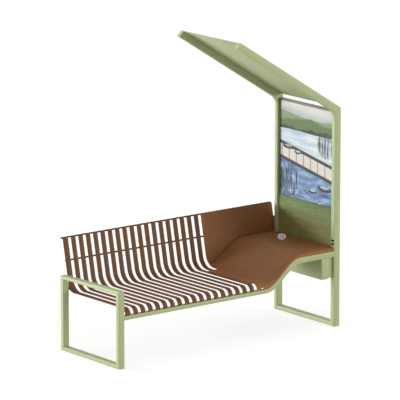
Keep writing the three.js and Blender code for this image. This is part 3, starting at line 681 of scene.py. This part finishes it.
only(shell)
bpy.ops.object.mode_set(mode="EDIT")
bpy.ops.mesh.select_mode(type="EDGE")
mesh = bmesh.from_edit_mesh(shell.data)
for edge in mesh.edges:
    ends = [vertex.co for vertex in edge.verts]
    at_side = all(abs(end.x - shell_high[0]) < TOUCH for end in ends)
    at_top = all(abs(end.z - back_top) < CORNER_REACH for end in ends)
    edge.select_set(at_side and at_top)
bmesh.update_edit_mesh(shell.data)
bpy.ops.mesh.bevel(offset=CORNER_RADIUS, segments=CORNER_STEPS, affect="EDGES")
bpy.ops.mesh.select_all(action="SELECT")
bpy.ops.mesh.dissolve_degenerate(threshold=WELD_REACH)
bpy.ops.mesh.select_all(action="DESELECT")
bpy.ops.object.mode_set(mode="OBJECT")
apply_bevel(shell, SHELL_EDGE, angle=50)
fit(shell, shell_brown, "seat_shell")

# Back bars and brackets
# Two flat steel bars, welded on behind the back, keep the slats in line. A gusset ties the first
# slat to the low hoop, and a wedge ties the shell to the portal's rear post.
BAR_EDGE = 0.0015
BAR_LONG_EDGE = 1.0
GUSSET_EDGE = 0.0006
WEDGE_EDGE = 0.0008
dark_brown = coated("dark_brown", paint(58, 38, 28), roughness=0.7, drift=0.08, specular=0.2)

for node, name in (("back_top_bar", "top_tie_bar"), ("back_mid_bar", "middle_tie_bar")):
    tie = welded_copy(node, name)
    round_edges(tie, lambda a, b: abs(a.x - b.x) > BAR_LONG_EDGE, BAR_EDGE)
    fit(tie, dark_brown, node)

gusset = welded_copy("left_back_bracket", "left_back_gusset")
apply_bevel(gusset, GUSSET_EDGE)
fit(gusset, slat_brown, "left_back_bracket")
wedge = welded_copy("right_back_bracket", "right_back_wedge")
apply_bevel(wedge, WEDGE_EDGE)
fit(wedge, shell_brown, "right_back_bracket")

# Portal panel
# A flat sheet that closes the portal from the table's underside up to the lit box. Its colour turns
# from a lighter, browner olive at the foot to a darker green above: a painted reflection of the
# brown table, and painted light on the foot where the seat back's shade falls. Over it lie faint
# level bands with fine light flecks.
PANEL_EDGE = 0.0006
BAND_STRETCH = (6.0, 6.0, 60.0)
BAND_SPREAD = (0.3, 0.7)
BAND_TONES = (0.79, 1.21)
FLECK_STRETCH = (50.0, 50.0, 105.0)
FLECK_SIZE = (0.27, 0.19)
FLECK_STRENGTH = 0.55

panel_green, tree, shader = new_material("panel_green", specular=0.12)
place = add_node(tree, "ShaderNodeTexCoord").outputs["Object"]
height = add_node(tree, "ShaderNodeSeparateXYZ", {"Vector": place}).outputs["Z"]
table_top, panel_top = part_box("table_apron")[1][2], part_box("portal_panel")[1][2]
# Painted reflection and light: browner and lighter towards the table, darker green towards the lit
# box.
climb = ranged(tree, height, table_top, panel_top)
painted_reflection_tone = mixed(tree, climb, paint(159, 153, 95), paint(98, 115, 72))
bands = noise(tree, stretched(tree, place, BAND_STRETCH), detail=3.0, distortion=0.6)
tones = ranged(tree, bands, *BAND_SPREAD, *BAND_TONES)
banded = add_node(tree, "ShaderNodeVectorMath", {0: painted_reflection_tone, "Scale": tones}, operation="SCALE")
inputs = {"Vector": stretched(tree, place, FLECK_STRETCH), "Scale": 1.0, "Randomness": 0.7}
dots = add_node(tree, "ShaderNodeTexVoronoi", inputs).outputs["Distance"]
flecks = ranged(tree, dots, *FLECK_SIZE, high=FLECK_STRENGTH)
flecked = mixed(tree, flecks, banded.outputs[0], paint(176, 182, 142))
spray(tree, shader, flecked, roughness=0.62, drift=0.1, depth=None)

panel = welded_copy("portal_panel", "portal_panel_sheet")
apply_bevel(panel, PANEL_EDGE)
fit(panel, panel_green, "portal_panel")

# Lit poster box
# Four dark aluminium profiles, joined in a frame between the posts, hold a clear front pane, the
# printed sheet behind it and a panel that lights the sheet from the back.
PROFILE_EDGE = 0.0008
PANE_EDGE = 0.0006
dark_profile = coated("dark_profile", paint(100, 97, 87), roughness=0.45, drift=0.06)

for node, name in (
    ("light_box_front_side", "box_front_profile"),
    ("light_box_rear_side", "box_rear_profile"),
    ("light_box_top", "box_top_profile"),
    ("light_box_bottom", "box_bottom_profile"),
):
    profile = welded_copy(node, name)
    apply_bevel(profile, PROFILE_EDGE)
    fit(profile, dark_profile, node)

pane = welded_copy("poster_glazing", "poster_pane")
apply_bevel(pane, PANE_EDGE)
fit(pane, clear_sheet("poster_glass", paint(150, 156, 158)), "poster_glazing")

diffuser = coated("diffuser_white", paint(238, 238, 234), roughness=0.6, drift=0.03)
finish_node("light_panel", diffuser)

# Printed sheet
# A made-up lakeside: pale sky, green hills over a dark hedge, blue water with long ripples, a pale
# paved bank, boulders and reeds. It is drawn in the shader from the sheet's own width and height.

# A hill has a height, tilt, swing, number of waves, their start, fraying and a colour. A boulder
# has a place across and up, a width and height, a shade and a lit top. A stand of reeds has a place
# across and up, a reach across and up, and a colour.
HILLS = (
    (0.915, -0.01, 0.014, 5.2, 0.6, 0.05, (178, 186, 184)),
    (0.875, -0.02, 0.020, 4.1, 2.4, 0.05, (132, 148, 110)),
    (0.825, -0.01, 0.022, 6.3, 4.4, 0.08, (92, 114, 52)),
    (0.735, 0.01, 0.008, 9.1, 1.1, 0.10, (34, 40, 28)),
)
LAKE = 0.705
SHORE_SWING = 0.004
SHORE_TURNS = 7.0
BANK = 0.50
BANK_EDGE = 0.035
BANK_WIDTH = 0.12
BANK_TILT = -0.16
PAVING = 0.085
PAVING_JOINT = 0.008
BOULDERS = (
    (0.16, 0.520, 0.10, 0.026, (36, 38, 38), (168, 160, 152)),
    (0.34, 0.480, 0.07, 0.020, (44, 46, 46), (206, 198, 192)),
    (0.84, 0.165, 0.13, 0.034, (38, 42, 48), (186, 186, 186)),
    (0.62, 0.110, 0.08, 0.022, (42, 48, 56), (206, 208, 208)),
)
BOULDER_TOP = {"lift": 0.4, "wide": 0.7, "tall": 0.5}
REEDS = (
    (0.18, 0.17, 0.20, 0.17, (34, 44, 26)),
    (0.86, 0.62, 0.16, 0.14, (52, 62, 30)),
)
REED_STRETCH = (1.0, 95.0, 7.0)
REED_DENSITY = 0.48
LINE_SHARPNESS = 160.0
BLOT_SHARPNESS = 9.0
BLOT_FRAYING = 0.9
REED_SHARPNESS = 16.0
TROUGH = 0.34
CREST = 0.66

sheet_low, sheet_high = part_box("poster_print")
print_ink, print_tree, shader = new_material("poster_ink", specular=0.3)
place = add_node(print_tree, "ShaderNodeTexCoord").outputs["Object"]
axes = add_node(print_tree, "ShaderNodeSeparateXYZ", {"Vector": place}).outputs
across = ranged(print_tree, axes["Y"], sheet_high[1], sheet_low[1], clamp=False)
upward = ranged(print_tree, axes["Z"], sheet_low[2], sheet_high[2], clamp=False)
fraying = noise(print_tree, place, size=26.0, detail=4.0)


def reckon(operation, *values):
    """A sum in the printed sheet's shader."""
    return sum_of(print_tree, operation, *values)


def off_centre(value, factor):
    """A share of the sheet or of the noise, counted from its middle and scaled."""
    return reckon("MULTIPLY", reckon("SUBTRACT", value, 0.5), factor)


def mask(value, sharpness):
    """0 where a value is under nothing, and soon 1 above it."""
    return reckon("MINIMUM", reckon("MAXIMUM", reckon("MULTIPLY", value, sharpness), 0.0), 1.0)


def wavy_line(height, tilt=0.0, swing=0.0, turns=0.0, start=0.0, ragged=0.0):
    """1 under a line across the sheet, which may tilt, wave and fray."""
    angle = reckon("ADD", reckon("MULTIPLY", across, turns), start)
    wave = reckon("MULTIPLY", reckon("SINE", angle), swing)
    slant = reckon("ADD", off_centre(across, tilt), height)
    edge = reckon("ADD", reckon("ADD", wave, off_centre(fraying, ragged)), slant)
    return mask(reckon("SUBTRACT", edge, upward), LINE_SHARPNESS)


def blot(centre, height, wide, tall):
    """1 inside a rough round spot on the sheet."""
    side = reckon("DIVIDE", reckon("SUBTRACT", across, centre), wide)
    above = reckon("DIVIDE", reckon("SUBTRACT", upward, height), tall)
    reach = reckon("ADD", reckon("MULTIPLY", side, side), reckon("MULTIPLY", above, above))
    edge = reckon("ADD", reach, off_centre(fraying, BLOT_FRAYING))
    return mask(reckon("SUBTRACT", 1.0, edge), BLOT_SHARPNESS)


def ripples(stretch, dark, middle, light):
    """Water, from dark troughs to light crests, with ripples of this stretch."""
    swell = noise(print_tree, stretched(print_tree, place, stretch), detail=3.0)
    tones = add_node(print_tree, "ShaderNodeValToRGB", {"Fac": swell})
    first, last = tones.color_ramp.elements
    first.position, first.color = TROUGH, dark
    last.position, last.color = CREST, light
    tones.color_ramp.elements.new((TROUGH + CREST) / 2).color = middle
    return tones.outputs["Color"]


ink = mixed(print_tree, fraying, paint(186, 180, 174), paint(232, 222, 214))
for *line, colour in HILLS:
    ink = mixed(print_tree, wavy_line(*line), ink, paint(*colour))
lake = ripples((1.0, 5.0, 34.0), paint(176, 194, 210), paint(204, 216, 224), paint(228, 234, 236))
inlet = ripples((1.0, 6.0, 20.0), paint(66, 90, 134), paint(112, 142, 184), paint(160, 186, 214))
joints = line_mask(print_tree, axes["Y"], PAVING, PAVING_JOINT)
paving = mixed(print_tree, joints, paint(226, 214, 204), paint(120, 106, 96))
ink = mixed(print_tree, wavy_line(LAKE, swing=SHORE_SWING, turns=SHORE_TURNS), ink, lake)
for depth, colour in (
    (0.0, paint(34, 36, 38)),
    (BANK_EDGE, paving),
    (BANK_EDGE + BANK_WIDTH, paint(36, 38, 44)),
    (2 * BANK_EDGE + BANK_WIDTH, inlet),
):
    ink = mixed(print_tree, wavy_line(BANK - depth, BANK_TILT), ink, colour)
for centre, height, wide, tall, shade, lit in BOULDERS:
    ink = mixed(print_tree, blot(centre, height, wide, tall), ink, paint(*shade))
    lit_height = height + tall * BOULDER_TOP["lift"]
    top = blot(centre, lit_height, wide * BOULDER_TOP["wide"], tall * BOULDER_TOP["tall"])
    ink = mixed(print_tree, top, ink, paint(*lit))
stem = noise(print_tree, stretched(print_tree, place, REED_STRETCH))
upright = mask(reckon("SUBTRACT", stem, REED_DENSITY), REED_SHARPNESS)
for *stand, colour in REEDS:
    ink = mixed(print_tree, reckon("MULTIPLY", blot(*stand), upright), ink, paint(*colour))
feed(print_tree, shader, {"Base Color": ink, "Roughness": 0.6})
finish_node("poster_print", print_ink)

# Poster door
# A flat steel door in the back of the box, hung on its inner edge, so that the print can be
# changed. A zinc quarter-turn lock with a cam holds it behind the frame's return.
DOOR_EDGE = 0.0008
LOCK_EDGE = 0.0003
KEY_SLOT = {"half_width": 0.0008, "half_length": 0.0035, "depth": 0.0025}
POLISH = (0.25, 0.45)

door = welded_copy("poster_door", "poster_door_sheet")
apply_bevel(door, DOOR_EDGE)
fit(door, sage_green, "poster_door", body="poster_door_body")

zinc, tree, shader = new_material("zinc", specular=0.5, metallic=1.0)
turning = noise(tree, add_node(tree, "ShaderNodeTexCoord").outputs["Object"], size=300.0)
polish = ranged(tree, turning, 0.0, 1.0, *POLISH)
feed(tree, shader, {"Roughness": polish, "Base Color": paint(188, 192, 196)})

turning_on = {joint["name"]: joint["pos_m"] for joint in frame["record"]["behaviour"]["joints"]}


def fit_lock(node, name, joint, body, face_axis, face, slot_axis):
    """A lock with a key slot in its face, where face is the frame box's low or high end."""
    piece = welded_copy(node, name)
    reach = [KEY_SLOT["half_width"]] * 3
    reach[slot_axis] = KEY_SLOT["half_length"]
    reach[face_axis] = KEY_SLOT["depth"]
    middle = list(turning_on[joint])
    middle[face_axis] = face[face_axis]
    low = [middle[axis] - reach[axis] for axis in range(3)]
    high = [middle[axis] + reach[axis] for axis in range(3)]
    cut_away(piece, low, high)
    apply_bevel(piece, LOCK_EDGE)
    fit(piece, zinc, node, body=body)


fit_lock(
    "poster_door_lock",
    "poster_lock_barrel",
    "poster_lock_turn",
    "poster_lock_body",
    face_axis=0,
    face=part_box("poster_door_lock")[1],
    slot_axis=2,
)

# Battery box
# A folded steel case under the table, with a hatch in its floor that is hung on its inner edge and
# held by a quarter-turn lock. The battery inside is a sealed black block.
CASE_EDGE = 0.0007
HATCH_EDGE = 0.0006
BATTERY_EDGE = 0.004

case = welded_copy("battery_box", "battery_box_case")
apply_bevel(case, CASE_EDGE)
fit(case, sage_green, "battery_box")
hatch = welded_copy("battery_door", "battery_hatch")
apply_bevel(hatch, HATCH_EDGE)
fit(hatch, sage_green, "battery_door", body="battery_door_body")
fit_lock(
    "battery_door_lock",
    "battery_lock_barrel",
    "battery_lock_turn",
    "battery_lock_body",
    face_axis=2,
    face=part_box("battery_door_lock")[0],
    slot_axis=0,
)

black_moulding = coated("black_moulding", paint(18, 18, 18), roughness=0.5, drift=0.1)
pack = welded_copy("battery_pack", "battery_block")
apply_bevel(pack, BATTERY_EDGE, steps=3)
fit(pack, black_moulding, "battery_pack")

# Controller housing
# A narrow open-topped tray of folded steel beside the battery case, tucked behind the front post.
# It holds the charge controller.
TRAY_EDGE = 0.0007
CONTROLLER_EDGE = 0.003

tray = welded_copy("controller_housing", "controller_tray")
apply_bevel(tray, TRAY_EDGE)
fit(tray, sage_green, "controller_housing")
controller = welded_copy("charge_controller", "controller_case")
apply_bevel(controller, CONTROLLER_EDGE, steps=3)
fit(controller, black_moulding, "charge_controller")

# USB sockets
# Two black moulded sockets, one over the other, pressed into the inner face of the front post just
# above the table.
SOCKET_EDGE = 0.0005
socket_black = coated("socket_black", paint(6, 6, 6), roughness=0.6, drift=0.2, specular=0.1)

for node, name in (("usb_socket_upper", "upper_socket"), ("usb_socket_lower", "lower_socket")):
    socket_piece = welded_copy(node, name)
    apply_bevel(socket_piece, SOCKET_EDGE)
    fit(socket_piece, socket_black, node)

# Phone charger
# A pale moulded puck that leans towards the sitter, with a grey soft pad let into its face. Only
# the puck's rim is rounded, clear of the pad's well and of its foot.
PUCK_EDGE = 0.002
PAD_EDGE = 0.0004
puck_pale = coated("puck_pale", paint(247, 236, 227), roughness=0.35, drift=0.02, specular=0.5)
pad_grey = coated("pad_grey", paint(196, 201, 222), roughness=0.6, drift=0.05)

puck = welded_copy("charger_base", "charger_puck")
low, high = (Vector(corner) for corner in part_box("charger_pad"))
well = (low + high) / 2
well_reach = max(high - low) / 2 + PUCK_EDGE
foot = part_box("charger_base")[0][2] + PUCK_EDGE
round_edges(
    puck,
    lambda a, b: min((a - well).length, (b - well).length) > well_reach and min(a.z, b.z) > foot,
    PUCK_EDGE,
)
fit(puck, puck_pale, "charger_base")
pad = welded_copy("charger_pad", "charger_soft_pad")
apply_bevel(pad, PAD_EDGE)
fit(pad, pad_grey, "charger_pad")

# Floor, light and camera
# A plain pale floor under a white sky. The main light is wide and nearly level and shines from
# behind the low hoop, a weaker warm one faces it from the front, and a third shines straight down.
FLOOR_SIZE = 120.0
FLOOR_DROP = 0.0005
WHITE = (1.0, 1.0, 1.0, 1.0)
FLOOR_TONES = {"bounce": (0.9, 0.9, 0.9, 1.0), "seen": (0.42, 0.42, 0.44, 1.0)}
FLOOR_GLOW = 0.73
SKY_LIGHTING = 0.32

# A light has a name, a way towards it, a strength, a colour and a width in degrees.
LIGHTS = (
    ("back_left_light", (-0.68, 0.72, 0.04), 5.4, (0.94, 0.98, 1.0), 30),
    ("front_light", (0.65, -0.75, 0.1), 2.1, (1.0, 1.0, 0.85), 40),
    ("sky_light", (0.0, 0.0, 1.0), 0.74, (1.0, 0.87, 0.68), 60),
)
CAMERA_PLACE = (-17.077, -21.8275, 7.216)
CAMERA_TURN = math.radians(-38.05)
CAMERA_DROP = math.radians(12.53)
LENS = 341.55
SENSOR_WIDTH = 36.0
VIEW_REACH = 400.0


def split_rays(tree, lit_by, seen_as, out):
    """Lights with one shader, and shows the other directly, in gloss and through glass."""
    path = add_node(tree, "ShaderNodeLightPath").outputs
    direct = sum_of(tree, "MAXIMUM", path["Is Camera Ray"], path["Is Glossy Ray"])
    direct = sum_of(tree, "MAXIMUM", direct, path["Is Transmission Ray"])
    choice = add_node(tree, "ShaderNodeMixShader", {0: direct, 1: lit_by, 2: seen_as})
    feed(tree, out, {"Surface": choice.outputs[0]})


bpy.ops.object.select_all(action="DESELECT")
bpy.ops.mesh.primitive_plane_add(size=FLOOR_SIZE, location=(0.0, 0.0, -FLOOR_DROP))
floor = bpy.context.object
floor.name = "studio_floor"
white_floor = bpy.data.materials.new("white_floor")
white_floor.use_nodes = True
tree = white_floor.node_tree
tree.nodes.remove(tree.nodes["Principled BSDF"])
bounce, seen = (
    add_node(tree, "ShaderNodeBsdfDiffuse", {"Color": FLOOR_TONES[use]}).outputs[0]
    for use in ("bounce", "seen")
)
glow = add_node(tree, "ShaderNodeEmission", {"Strength": FLOOR_GLOW}).outputs[0]
shown = add_node(tree, "ShaderNodeAddShader", {0: seen, 1: glow}).outputs[0]
split_rays(tree, bounce, shown, tree.nodes["Material Output"])
floor.data.materials.append(white_floor)

world = bpy.data.worlds.new("white_sky")
bpy.context.scene.world = world
world.use_nodes = True
tree = world.node_tree
tree.nodes.clear()
lighting, backdrop = (
    add_node(tree, "ShaderNodeBackground", {"Color": WHITE, "Strength": strength}).outputs[0]
    for strength in (SKY_LIGHTING, 1.0)
)
split_rays(tree, lighting, backdrop, add_node(tree, "ShaderNodeOutputWorld"))

for name, towards, strength, colour, width in LIGHTS:
    lamp = bpy.data.lights.new(name, "SUN")
    lamp.energy = strength
    lamp.angle = math.radians(width)
    lamp.color = colour
    sun = bpy.data.objects.new(name, lamp)
    bpy.context.scene.collection.objects.link(sun)
    sun.rotation_euler = Vector(towards).to_track_quat("Z", "Y").to_euler()

camera_data = bpy.data.cameras.new("photo_camera")
camera_data.lens = LENS
camera_data.sensor_width = SENSOR_WIDTH
camera_data.clip_end = VIEW_REACH
camera = bpy.data.objects.new("photo_camera", camera_data)
bpy.context.scene.collection.objects.link(camera)
camera.location = CAMERA_PLACE
camera.rotation_euler = (math.pi / 2 - CAMERA_DROP, 0.0, CAMERA_TURN)
bpy.context.scene.camera = camera
bpy.context.scene.view_settings.view_transform = "Standard"
